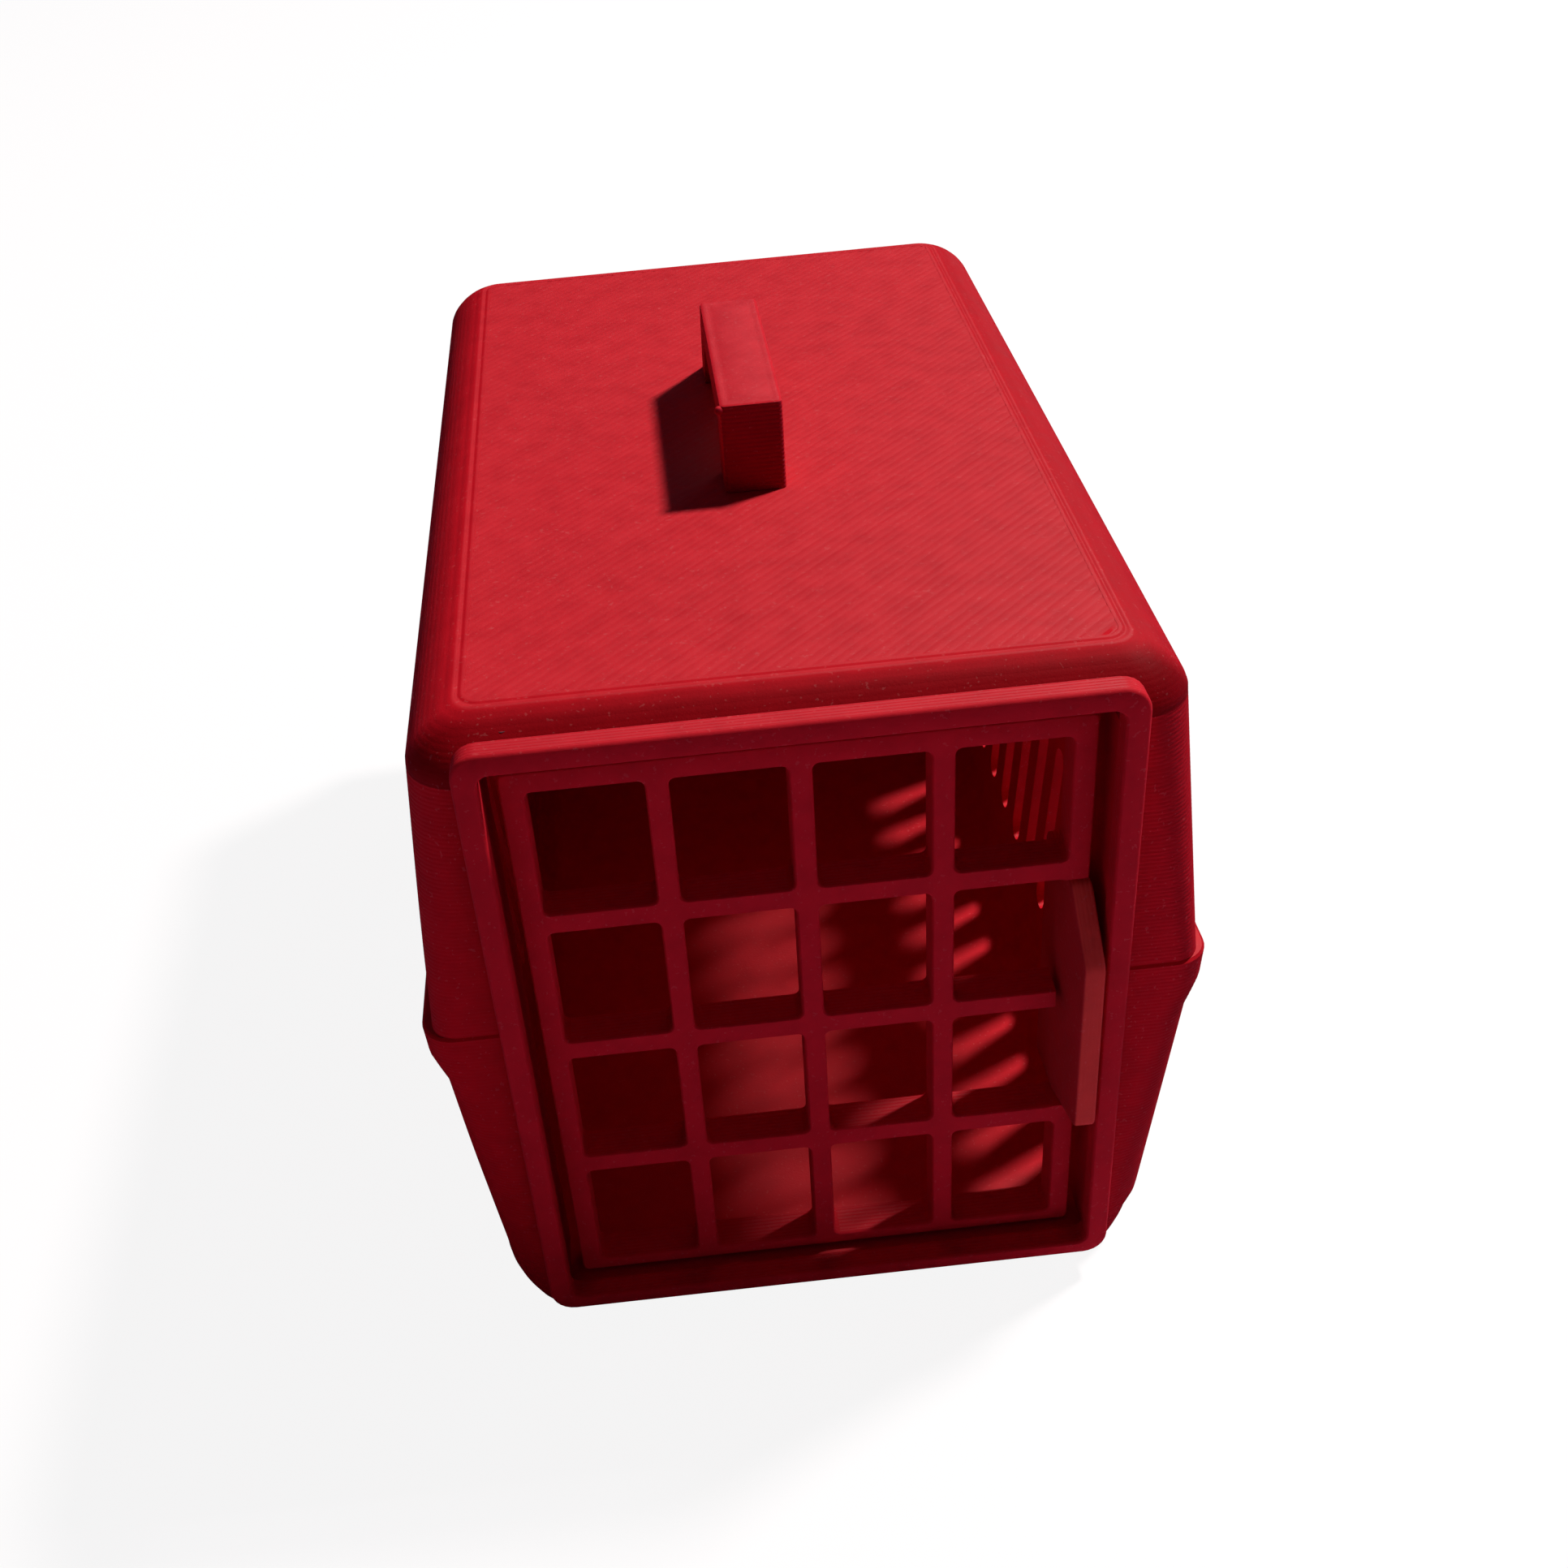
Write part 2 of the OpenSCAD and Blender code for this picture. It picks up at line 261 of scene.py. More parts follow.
def outline(w, y0, y1, r, side_steps=26, end_steps=18, corner_steps=8):
    """Points round a rounded rectangle, w wide about x = 0, from y0 to y1. The count never changes."""
    r = max(r, 0.02)
    hw = w / 2
    points = []
    corners = ((hw - r, y0 + r, -90), (hw - r, y1 - r, 0), (-hw + r, y1 - r, 90), (-hw + r, y0 + r, 180))
    runs = (side_steps, end_steps, side_steps, end_steps)
    for i, (cx, cy, start) in enumerate(corners):
        for k in range(corner_steps + 1):
            a = math.radians(start + 90 * k / corner_steps)
            points.append((cx + r * math.cos(a), cy + r * math.sin(a)))
        nx, ny, turn = corners[(i + 1) % 4]
        a = math.radians(turn)
        end = (nx + r * math.cos(a), ny + r * math.sin(a))
        begin = points[-1]
        for k in range(1, runs[i]):
            t = k / runs[i]
            points.append((begin[0] + (end[0] - begin[0]) * t, begin[1] + (end[1] - begin[1]) * t))
    return points


def stack(name, rings):
    """A closed solid through rings of 3-D points, which all have the same count."""
    mesh = bpy.data.meshes.new(name)
    n = len(rings[0])
    points = [Vector(p) * MM for ring in rings for p in ring]
    faces = []
    for k in range(len(rings) - 1):
        a = k * n
        b = a + n
        for i in range(n):
            j = (i + 1) % n
            faces.append((a + i, a + j, b + j, b + i))
    faces.append(tuple(reversed(range(n))))
    faces.append(tuple(range(len(points) - n, len(points))))
    mesh.from_pydata(points, [], faces)
    bm = bmesh.new()
    bm.from_mesh(mesh)
    bmesh.ops.recalc_face_normals(bm, faces=bm.faces)
    bm.to_mesh(mesh)
    bm.free()
    obj = bpy.data.objects.new(name, mesh)
    bpy.context.collection.objects.link(obj)
    return obj


def block(name, low, high):
    """An upright box as a stack of two rings."""
    x0, y0, z0 = low
    x1, y1, z1 = high
    ring = [(x0, y0), (x1, y0), (x1, y1), (x0, y1)]
    return stack(name, [[(x, y, z) for x, y in ring] for z in (z0, z1)])


def rod(name, start, end, d, sides=24):
    """A round rod between two points, given by its end rings."""
    a = Vector(start)
    b = Vector(end)
    turn = (b - a).to_track_quat("Z", "Y").to_matrix()
    rings = []
    for centre in (a, b):
        ring = []
        for i in range(sides):
            t = 2 * math.pi * i / sides
            ring.append(centre + turn @ Vector((d / 2 * math.cos(t), d / 2 * math.sin(t), 0)))
        rings.append(ring)
    return stack(name, rings)


def join(name, objs):
    """Several meshes as one, without merging their surfaces."""
    bm = bmesh.new()
    for o in objs:
        bm.from_mesh(o.data)
    mesh = bpy.data.meshes.new(name)
    bm.to_mesh(mesh)
    bm.free()
    for o in objs:
        bpy.data.objects.remove(o)
    obj = bpy.data.objects.new(name, mesh)
    bpy.context.collection.objects.link(obj)
    return obj


def cut(obj, tool, operation="DIFFERENCE"):
    """Applies a boolean to obj and deletes the tool."""
    mod = obj.modifiers.new("cut", "BOOLEAN")
    mod.operation = operation
    mod.solver = "MANIFOLD"
    mod.object = tool
    depsgraph = bpy.context.evaluated_depsgraph_get()
    result = bpy.data.meshes.new_from_object(obj.evaluated_get(depsgraph))
    obj.modifiers.clear()
    old = obj.data
    obj.data = result
    bpy.data.meshes.remove(old)
    bpy.data.objects.remove(tool)
    return obj


def finish_mesh(obj, angle=38):
    """Merges doubles, drops slivers, splits many-sided faces and shades smooth except across sharp edges."""
    bm = bmesh.new()
    bm.from_mesh(obj.data)
    bmesh.ops.remove_doubles(bm, verts=bm.verts, dist=MERGE * MM)
    bmesh.ops.dissolve_degenerate(bm, edges=bm.edges, dist=MERGE / 2 * MM)
    bmesh.ops.triangulate(bm, faces=[f for f in bm.faces if len(f.verts) > 4])
    for f in bm.faces:
        f.smooth = True
    for e in bm.edges:
        if len(e.link_faces) == 2 and e.calc_face_angle(0) > math.radians(angle):
            e.smooth = False
    bm.to_mesh(obj.data)
    bm.free()
    return obj


# ---------------------------------------------------------------- materials

def new_material(name):
    mat = bpy.data.materials.new(name)
    mat.use_nodes = True
    nodes = mat.node_tree.nodes
    nodes.clear()
    out = nodes.new("ShaderNodeOutputMaterial")
    shader = nodes.new("ShaderNodeBsdfPrincipled")
    mat.node_tree.links.new(shader.outputs[0], out.inputs[0])
    return mat, shader


def add_node(mat, kind, **settings):
    node = mat.node_tree.nodes.new(kind)
    for key, value in settings.items():
        setattr(node, key, value)
    return node


def feed(mat, value, slot):
    """Sets an input to a number or a colour, or wires an output into it."""
    if isinstance(value, (int, float)):
        slot.default_value = value
    elif isinstance(value, tuple):
        slot.default_value = (*value, 1)
    else:
        mat.node_tree.links.new(value, slot)


def math_node(mat, operation, a, b=0.0):
    node = add_node(mat, "ShaderNodeMath", operation=operation)
    feed(mat, a, node.inputs[0])
    feed(mat, b, node.inputs[1])
    return node.outputs[0]


def weighted(mat, *terms):
    """The sum of outputs, each times its weight."""
    total = 0.0
    for value, weight in terms:
        total = math_node(mat, "ADD", total, math_node(mat, "MULTIPLY", value, weight))
    return total


def map_range(mat, value, start, end, low=0.0, high=1.0):
    """Maps start to end of a value onto low to high, and holds it beyond both ends."""
    node = add_node(mat, "ShaderNodeMapRange")
    for slot, setting in zip(node.inputs, (value, start, end, low, high)):
        feed(mat, setting, slot)
    return node.outputs[0]


def mix_number(mat, share, a, b):
    node = add_node(mat, "ShaderNodeMix", data_type="FLOAT")
    for slot, value in ((0, share), (2, a), (3, b)):
        feed(mat, value, node.inputs[slot])
    return node.outputs[0]


def mix_colour(mat, share, a, b, blend="MIX"):
    node = add_node(mat, "ShaderNodeMix", data_type="RGBA", blend_type=blend)
    for slot, value in ((0, share), (6, a), (7, b)):
        feed(mat, value, node.inputs[slot])
    return node.outputs[2]


def separate(mat, vector):
    node = add_node(mat, "ShaderNodeSeparateXYZ")
    feed(mat, vector, node.inputs[0])
    return node.outputs


def noise(mat, coord, scale, detail=3.0, rough=0.55):
    node = add_node(mat, "ShaderNodeTexNoise")
    for slot, value in (("Vector", coord), ("Scale", scale), ("Detail", detail), ("Roughness", rough)):
        feed(mat, value, node.inputs[slot])
    return node.outputs["Fac"]


def ramp(mat, value, *stops):
    node = add_node(mat, "ShaderNodeValToRGB")
    band = node.color_ramp
    while len(band.elements) < len(stops):
        band.elements.new(0.5)
    for element, (place, colour) in zip(band.elements, stops):
        element.position = place
        element.color = (*colour, 1)
    feed(mat, value, node.inputs[0])
    return node.outputs[0]


def add_bump(mat, shader, height, strength, distance):
    node = add_node(mat, "ShaderNodeBump")
    for slot, value in (("Height", height), ("Strength", strength), ("Distance", distance * MM)):
        feed(mat, value, node.inputs[slot])
    feed(mat, node.outputs[0], shader.inputs["Normal"])


def layer_lines(mat, texture, across):
    """Ridges one layer apart, which wander a little in height."""
    height = weighted(mat, (across, 1.0), (noise(mat, texture, 160, 2), 0.05 * MM))
    phase = math_node(mat, "MULTIPLY", height, math.pi / (LAYER * MM))
    return math_node(mat, "ABSOLUTE", math_node(mat, "SINE", phase))


def raster_lines(mat, first, second):
    """Ridges one line apart, slanted between two axes."""
    slant = math_node(mat, "SUBTRACT", first, second)
    phase = math_node(mat, "MULTIPLY", slant, math.pi * math.sin(RASTER_TURN) / (LINE * MM))
    return math_node(mat, "ABSOLUTE", math_node(mat, "SINE", phase))


def painted_crevice_shade_mask(mat, place, y_start, y_end, z_low):
    """Where painted shade goes: it fades in from y_start to y_end towards the front, above z_low only."""
    fade = map_range(mat, place[1], y_start * MM, y_end * MM)
    above = math_node(mat, "GREATER_THAN", place[2], z_low * MM)
    return math_node(mat, "MULTIPLY", fade, above)


def printed_plastic(name, tone, layer_axis, raster=True, crevice_painted_shade=None, facing_painted_shade=None):
    """Matt printed red: layer lines across layer_axis, a diagonal raster on the faces that lie along the
    layers, mottled colour, specks of dust, and a sheen that only level faces have.

    A crevice is (y_start, y_end, z_low), where painted shade deepens the red towards the front. Facing is
    (axis, start, end, shade), which paints shade into the colour of the faces whose normal along the axis
    goes from start to end."""
    mat, shader = new_material(name)
    coordinates = add_node(mat, "ShaderNodeTexCoord").outputs
    texture = coordinates["Object"]
    place = separate(mat, texture)
    normal = separate(mat, coordinates["Normal"])
    grain = noise(mat, texture, 9000, 4, 0.7)
    mottle = noise(mat, texture, 700, 4, 0.6)
    cloud = noise(mat, texture, 110, 2, 0.5)

    on_layer = math_node(mat, "GREATER_THAN", math_node(mat, "ABSOLUTE", normal[layer_axis]), 0.9)
    others = [place[axis] for axis in range(3) if axis != layer_axis]
    fill = raster_lines(mat, *others) if raster else 0.8
    ridge = mix_number(mat, on_layer, layer_lines(mat, texture, place[layer_axis]), fill)
    add_bump(mat, shader, weighted(mat, (ridge, 0.22), (grain, 0.8), (mottle, 0.10)), 0.55, 0.03)

    dark = tuple(c * 0.91 for c in tone)
    light = tuple(min(1, c * 1.06 + 0.001) for c in tone)
    colour = ramp(mat, mottle, (0.30, dark), (0.52, tone), (0.75, light))
    tint = ramp(mat, cloud, (0.25, CLOUD_SHADE), (0.75, WHITE))
    colour = mix_colour(mat, 1.0, colour, tint, "MULTIPLY")
    # Painted shade, deepening the red in the crevice above the front rounding
    if crevice_painted_shade:
        colour = mix_colour(mat, painted_crevice_shade_mask(mat, place, *crevice_painted_shade), colour, PAINTED_CREVICE_SHADE, "MULTIPLY")
    # Painted shade on the faces turned one way
    if facing_painted_shade:
        axis, start, end, painted_shade = facing_painted_shade
        colour = mix_colour(mat, map_range(mat, normal[axis], start, end), colour, painted_shade, "MULTIPLY")
    speck = math_node(mat, "GREATER_THAN", noise(mat, texture, 5200, 1, 0.5), 0.70)
    colour = mix_colour(mat, math_node(mat, "MULTIPLY", speck, 0.06), colour, DUST_TONE)

    feed(mat, colour, shader.inputs["Base Color"])
    feed(mat, map_range(mat, mottle, 0, 1, 0.46, 0.72), shader.inputs["Roughness"])
    feed(mat, map_range(mat, normal[2], 0.97, 0.998, 0.04, 0.32), shader.inputs["Specular IOR Level"])
    shader.inputs["Subsurface Weight"].default_value = 0.06
    shader.inputs["Subsurface Radius"].default_value = (0.6 * MM, 0.12 * MM, 0.1 * MM)
    shader.inputs["Subsurface Scale"].default_value = 1.0
    return mat


def drawn_wire(name):
    """Steel wire with die lines along its length and a little grime."""
    mat, shader = new_material(name)
    texture = add_node(mat, "ShaderNodeTexCoord").outputs["Object"]
    stretch = add_node(mat, "ShaderNodeMapping")
    stretch.inputs["Scale"].default_value = (1, 1, 0.04)
    feed(mat, texture, stretch.inputs[0])
    scratch = noise(mat, stretch.outputs[0], 22000, 3, 0.6)
    grime = noise(mat, texture, 900, 3, 0.6)
    colour = ramp(mat, grime, (0.3, (0.30, 0.28, 0.27)), (0.6, (0.62, 0.62, 0.64)))
    feed(mat, colour, shader.inputs["Base Color"])
    feed(mat, 1.0, shader.inputs["Metallic"])
    feed(mat, map_range(mat, scratch, 0, 1, 0.22, 0.5), shader.inputs["Roughness"])
    add_bump(mat, shader, scratch, 0.3, 0.004)
    return mat


def paint(obj, mat):
    obj.data.materials.clear()
    obj.data.materials.append(mat)


# ---------------------------------------------------------------- shell forms

def bulge(t, power):
    """Share of a rounding's reach that is left at t, from 0 at its foot to 1 at its end."""
    return max(0.0, 1 - min(1.0, max(0.0, t)) ** power) ** (1 / power)


def side_profile(z, wide, wide_z, narrow, round_r, round_z, power=2.0):
    """Half width at z of a straight side from wide at wide_z, which runs into a rounding of round_r whose
    centre is at round_z and whose flank would reach the narrow width. A power below 2 flattens it."""
    cx = narrow / 2 - round_r
    dx = wide / 2 - cx
    dz = wide_z - round_z
    reach = math.hypot(dx, dz)
    aim = math.atan2(dz, dx)
    touch = aim - math.copysign(math.acos(round_r / reach), dz)
    tx = cx + round_r * math.cos(touch)
    tz = round_z + round_r * math.sin(touch)
    beyond = (z - tz) * math.copysign(1, dz)
    if beyond >= 0:
        t = (z - tz) / (wide_z - tz)
        return tx + (wide / 2 - tx) * t
    end_z = round_z - math.copysign(round_r, dz)
    return cx + (tx - cx) * bulge((z - tz) / (end_z - tz), power)


def upper_section(z, inset=0.0):
    """Width, front, back and corner radius of the upper shell at height z."""
    r = ROOF_R - inset
    half = side_profile(z, SEAM_W - 2 * inset, SEAM_Z, ROOF_W - 2 * inset, r, ROUND_Z, ROOF_POWER)
    rise = (z - ROUND_Z) / r
    pull = r * (1 - bulge(rise, ROOF_POWER))
    pull_front = r * (1 - bulge(rise, FRONT_POWER))
    t = min(1, (z - SEAM_Z) / (ROUND_Z - SEAM_Z))
    corner = (CORNER_R - inset) * (1 - t) + r * t - pull * (1 - RIM_CORNER / ROOF_R)
    front = FRONT_Y + inset + pull_front
    back = BACK_Y - inset - BACK_LEAN * t - pull
    return 2 * half, front, back, corner


def lower_section(z, inset=0.0):
    """The same for the lower shell, whose front stays upright down to a small chamfer."""
    r = BASE_R - inset
    zc = BASE_R
    half = side_profile(z, BELT_W - 2 * inset, SEAM_Z, BASE_W - 2 * inset, r, zc)
    drop = max(0.0, min(zc - z, r))
    pull = r - math.sqrt(max(r * r - drop * drop, 0))
    t = max(0, (SEAM_Z - z) / (SEAM_Z - zc))
    t = min(1, t)
    corner = (CORNER_R - inset) * (1 - t) + r * t - pull
    foot = max(0.0, FRONT_EDGE - (z - inset)) if z < FRONT_EDGE + inset else 0.0
    front = FRONT_Y + inset + foot
    back = BACK_Y - inset - BACK_LEAN * t - pull
    return 2 * half, front, back, corner


def lip_grow(z):
    """How far the seam lip stands out of the lower shell's side at height z."""
    slope_z = SEAM_Z - LIP_H - LIP_SLOPE
    if z < slope_z:
        return 0.0
    upright = (LIP_W - lower_section(z)[0]) / 2
    return upright * min(1, (z - slope_z) / LIP_SLOPE)


def uneven(x, z):
    """The print isn't quite even: its left side is drawn in at the seam, and its right side at the base."""
    share = min(1.0, abs(x) / DRAW_FULL_X)
    if x < 0:
        return x + share * SEAM_DRAW * math.exp(-((z - SEAM_DRAW_Z) / SEAM_DRAW_SPREAD) ** 2)
    t = min(1.0, max(0.0, (BASE_DRAW_Z - z) / BASE_DRAW_DROP))
    return x - share * BASE_DRAW * t * t * (3 - 2 * t)


def section_ring(section, z, inset=0.0, grow=0.0):
    """The section as a ring at height z, set in all round and grown at the sides and the back."""
    w, front, back, corner = section
    return [(uneven(x, z), y, z) for x, y in outline(w - 2 * inset + 2 * grow, front + inset,
                                                     back - inset + min(grow, LIP_BACK),
                                                     corner - inset + grow)]


def layered(section_at, z0, z1, grow_at=lambda z: 0.0):
    """Rings of printed layers from z0 to z1: the true curve, nicked between one layer and the next."""
    rings = []
    count = round((z1 - z0) / LAYER)
    for k in range(count):
        low = z0 + k * LAYER
        high = low + LAYER
        usual = GROOVE if low < ROUND_Z else GROOVE_TOP
        foot_nick, foot = GROOVE_SEAM if abs(low - SEAM_Z) < LAYER / 2 else usual
        head_nick, head = GROOVE_SEAM if abs(high - SEAM_Z) < LAYER / 2 else usual
        for z, inset in ((low + NICK_AT, foot_nick), (low + foot, 0),
                         (high - head, 0), (high - NICK_AT, head_nick)):
            rings.append(section_ring(section_at(z), z, inset, grow_at(z)))
    return rings


def crown_rings():
    """The rounding's last layers and the rim of the flat, with a groove on each side of one outline bead."""
    rings = []
    rim = upper_section(ROOF_Z)
    for k in range(CROWN_STEPS + 1):
        z = ROOF_Z - CROWN_LAYERS * LAYER * (1 - k / CROWN_STEPS) ** 2
        section = upper_section(z)
        rings.append(section_ring(section, z - rim_groove((section[0] - rim[0]) / 2)))
    rim_steps = CROWN_STEPS // 2
    for k in range(1, rim_steps + 1):
        inset = RIM * k / rim_steps
        rings.append(section_ring(rim, ROOF_Z - rim_groove(-inset), inset))
    rings.append(section_ring(rim, ROOF_Z - RIM_DROP, RIM + RIM_TUCK))
    return rings


def rim_groove(out):
    """Depth of the grooves at a distance outside the rim of the flat."""
    return sum(depth * math.exp(-((out - at) / RIM_GROOVE_W) ** 2) for at, depth in RIM_GROOVES)


def plain(section_at, z0, z1, inset, steps=40):
    """Smooth rings from z0 to z1, set in from the outside, for the cavity of a shell."""
    rings = []
    for k in range(steps + 1):
        z = z0 + (z1 - z0) * k / steps
        rings.append(section_ring(section_at(z, inset), z))
    return rings


def posts(z0, z1):
    """Corner posts: two beside the doorway and two at the back, deep enough into the wall to join it."""
    parts = []
    half = POST_HALF_W
    for sx in (-1, 1):
        x = DOORWAY_X + sx * (DOORWAY_W / 2 + half)
        parts.append(block("post", (x - half, FRONT_Y, z0), (x + half, FRONT_Y + POST_D, z1)))
        x = sx * (BACK_POST_X + half)
        y = BACK_Y - WALL + 0.5
        parts.append(block("post", (x - half, y - BACK_POST_D, z0), (x + half, y, z1)))
    return parts


def vents(span, count):
    """One row of upright slots as cutters through both sides."""
    parts = []
    for i in range(count):
        y = FRONT_Y + VENT_FIRST + i * VENT_PITCH
        ring = outline(VENT_W, span[0], span[1], VENT_W / 2 - 0.02, 1, 1, 6)
        parts.append(stack("slot", [[(x, y + py, z) for py, z in ring] for x in (-BELT_W, BELT_W)]))
    return join("slots", parts)


def fastener_holes():
    """Holes for the dowels across the seam and for the pegs behind the surround."""
    parts = []
    for sx in (-1, 1):
        for y in DOWEL_YS:
            parts.append(rod("hole", (sx * DOWEL_X, y, SEAM_Z - DOWEL_L / 2),
                             (sx * DOWEL_X, y, SEAM_Z + DOWEL_L / 2), DOWEL_D))
        for z in PEG_ZS:
            x = DOORWAY_X + sx * PEG_X
            parts.append(rod("hole", (x, FRONT_Y - PEG_IN_SURROUND, z),
                             (x, FRONT_Y - PEG_IN_SURROUND + PEG_L, z), WIRE_D, 12))
    return join("holes", parts)


def doorway_block():
    """The doorway as a cutter from in front of the shell to behind the posts."""
    x0 = DOORWAY_X - DOORWAY_W / 2
    return block("doorway", (x0, FRONT_Y - 1, SILL_Z), (x0 + DOORWAY_W, FRONT_Y + POST_D + 0.2, HEAD_Z))


def roof_raster(low, high, margin):
    """Diagonal beads that fill the flat of the roof, as one corrugated slab trimmed to its edge."""
    random.seed(SEED)
    along = Vector((math.cos(RASTER_TURN), math.sin(RASTER_TURN), 0))
    across = Vector((-math.sin(RASTER_TURN), math.cos(RASTER_TURN), 0))
    count = int(2 * RASTER_REACH / LINE)
    columns = []
    for k in range(count):
        level = random.uniform(-RASTER_UNEVEN, 0.0)
        for t, drop in BEAD:
            columns.append((-RASTER_REACH + (k + 0.5 + t) * LINE, drop + level))
    rings = []
    for s in range(RASTER_STEPS + 1):
        place = along * (-RASTER_REACH + 2 * RASTER_REACH * s / RASTER_STEPS)
        ring = []
        for offset, drop in columns:
            jitter = random.uniform(-RASTER_UNEVEN, 0.0)
            p = place + across * offset
            ring.append((p.x, p.y, high + drop + jitter))
        for offset in (columns[-1][0], columns[0][0]):
            p = place + across * offset
            ring.append((p.x, p.y, low))
        rings.append(ring)
    slab = stack("raster", rings)
    rim = upper_section(ROOF_Z)
    trim = stack("trim", [section_ring(rim, z, margin) for z in (low + PAST, high + 1)])
    return cut(slab, trim, "INTERSECT")


def upper_shell():
    rings = layered(upper_section, SEAM_Z, ROOF_Z - CROWN_LAYERS * LAYER) + crown_rings()
    shell = stack("upper_shell_print", rings)
    cut(shell, roof_raster(ROOF_Z - RASTER_UNDER, ROOF_Z, RIM - RASTER_OVER_RIM), "UNION")
    cavity = stack("cavity", plain(upper_section, SEAM_Z - PAST, ROOF_Z - WALL, WALL))
    for post in posts(SEAM_Z - 1, ROOF_Z):
        cut(cavity, post)
    head = block("head", (DOORWAY_X - DOORWAY_W / 2, FRONT_Y, HEAD_Z),
                 (DOORWAY_X + DOORWAY_W / 2, FRONT_Y + POST_D, ROOF_Z))
    cut(cavity, head)
    cut(shell, cavity)
    cut(shell, doorway_block())
    cut(shell, vents(VENT_HIGH, VENT_HIGH_N))
    cut(shell, fastener_holes())
    cut(shell, rod("hole", (HINGE_X, DOOR_MID_Y, HEAD_Z - PAST), (HINGE_X, DOOR_MID_Y, HEAD_Z + PIN_TOP),
                   WIRE_D))
    for y in TENON_YS:
        h = TENON_W / 2
        cut(shell, block("mortise", (-h, y - h, ROOF_Z - WALL - 0.5), (h, y + h, ROOF_Z + 0.5)))
    return finish_mesh(shell)


def lower_shell():
    shell = stack("lower_shell_print", layered(lower_section, 0, SEAM_Z, lip_grow))
    cavity = stack("cavity", plain(lower_section, WALL, SEAM_Z + PAST, WALL))
    for post in posts(0, SEAM_Z + 1):
        cut(cavity, post)
    sill = block("sill", (DOORWAY_X - DOORWAY_W / 2, FRONT_Y, 0),
                 (DOORWAY_X + DOORWAY_W / 2, FRONT_Y + POST_D, SILL_Z))
    cut(cavity, sill)
    cut(shell, cavity)
    cut(shell, doorway_block())
    cut(shell, vents(VENT_LOW, VENT_LOW_N))
    cut(shell, fastener_holes())
    cut(shell, rod("hole", (HINGE_X, DOOR_MID_Y, SILL_Z - PIN_SOCKET), (HINGE_X, DOOR_MID_Y, SILL_Z + PAST),
                   WIRE_D))
    return finish_mesh(shell)


# ---------------------------------------------------------------- flat-printed pieces

def plate(name, w, z0, z1, r, y_front, y_back, edge, x=DOORWAY_X, flare=False):
    """A rounded rectangle in the door's plane, from y_front back to y_back, with eased edges.
    With flare it is a cutter whose ends open out instead."""
    rings = []
    stops = [(y_front, -edge), (y_front + 0.3 * edge, -0.45 * edge), (y_front + edge, 0.0)]
    count = max(1, round((y_back - y_front) / LAYER))
    half = PLATE_GROOVE_HALF
    for k in range(1, count):
        y = y_front + k * (y_back - y_front) / count
        if y_front + edge + half < y < y_back - edge - half:
            stops += [(y - half, 0.0), (y, -PLATE_GROOVE), (y + half, 0.0)]
    stops += [(y_back - edge, 0.0), (y_back - 0.3 * edge, -0.45 * edge), (y_back, -edge)]
    for y, grow in stops:
        g = -grow if flare else grow
        ring = outline(w + 2 * g, z0 - g, z1 + g, r + g, 8, 8, 6)
        rings.append([(x + px, y, pz) for px, pz in ring])
    return stack(name, rings)


def front_surround():
    body = plate("front_surround_print", SURROUND_W, SURROUND_Z, SURROUND_Z + SURROUND_H, SURROUND_R,
                 FRONT_Y - SURROUND_T, FRONT_Y, SURROUND_EASE)
    hole = plate("hole", SURROUND_W - 2 * SURROUND_BAR, SURROUND_Z + SURROUND_FOOT,
                 SURROUND_Z + SURROUND_H - SURROUND_BAR, SURROUND_INNER_R,
                 FRONT_Y - SURROUND_T, FRONT_Y, SURROUND_INNER_EASE, flare=True)
    stretch_cutter(hole)
    cut(body, hole)
    pegs = []
    for sx in (-1, 1):
        for z in PEG_ZS:
            x = DOORWAY_X + sx * PEG_X
            pegs.append(rod("peg", (x, FRONT_Y - PEG_IN_SURROUND, z), (x, FRONT_Y + 0.1, z), WIRE_D, 12))
    cut(body, join("pegs", pegs))
    return finish_mesh(body)


def stretch_cutter(obj, by=0.02):
    """Moves a plate cutter's end caps just past the faces that it cuts."""
    ys = [v.co.y for v in obj.data.vertices]
    low, high = min(ys), max(ys)
    for v in obj.data.vertices:
        if v.co.y == low:
            v.co.y -= by * MM
        elif v.co.y == high:
            v.co.y += by * MM


def door_grille():
    y0 = DOOR_Y
    y1 = DOOR_Y + DOOR_T
    door = plate("door_grille_print", DOOR_W, DOOR_Z, DOOR_Z + DOOR_H, CELL_R, y0, y1, DOOR_EASE)
    holes = []
    for i in range(GRILLE_N):
        for j in range(GRILLE_N):
            x = CELL_X0 + CELL_W / 2 + i * (CELL_W + BAR_W)
            z = CELL_Z0 + j * (CELL_H + CROSS_W)
            hole = plate("cell", CELL_W, z, z + CELL_H, CELL_R, y0, y1, DOOR_EASE, x, flare=True)
            stretch_cutter(hole)
            holes.append(hole)
    cut(door, join("cells", holes))
    x0 = LATCH_X - BAR_W / 2 - BAR_END_GAP
    cut(door, block("window", (x0, y0 - 1, LEVER_Z0 - LEVER_GAP), (x0 + 5, y1 + 1, LEVER_Z1 + LEVER_GAP)))
    wires = [rod("run", (HINGE_X, DOOR_MID_Y, DOOR_Z - PAST), (HINGE_X, DOOR_MID_Y, DOOR_Z + HINGE_GRIP),
                 WIRE_RUN_D),
             rod("run", (HINGE_X, DOOR_MID_Y, DOOR_Z + DOOR_H - HINGE_GRIP),
                 (HINGE_X, DOOR_MID_Y, DOOR_Z + DOOR_H + PAST), WIRE_RUN_D),
             rod("run", (LATCH_X, DOOR_MID_Y, DOOR_Z - PAST),
                 (LATCH_X, DOOR_MID_Y, LEVER_Z1 + LEVER_GAP + LATCH_GRIP), WIRE_D)]
    cut(door, join("runs", wires))
    return finish_mesh(door)


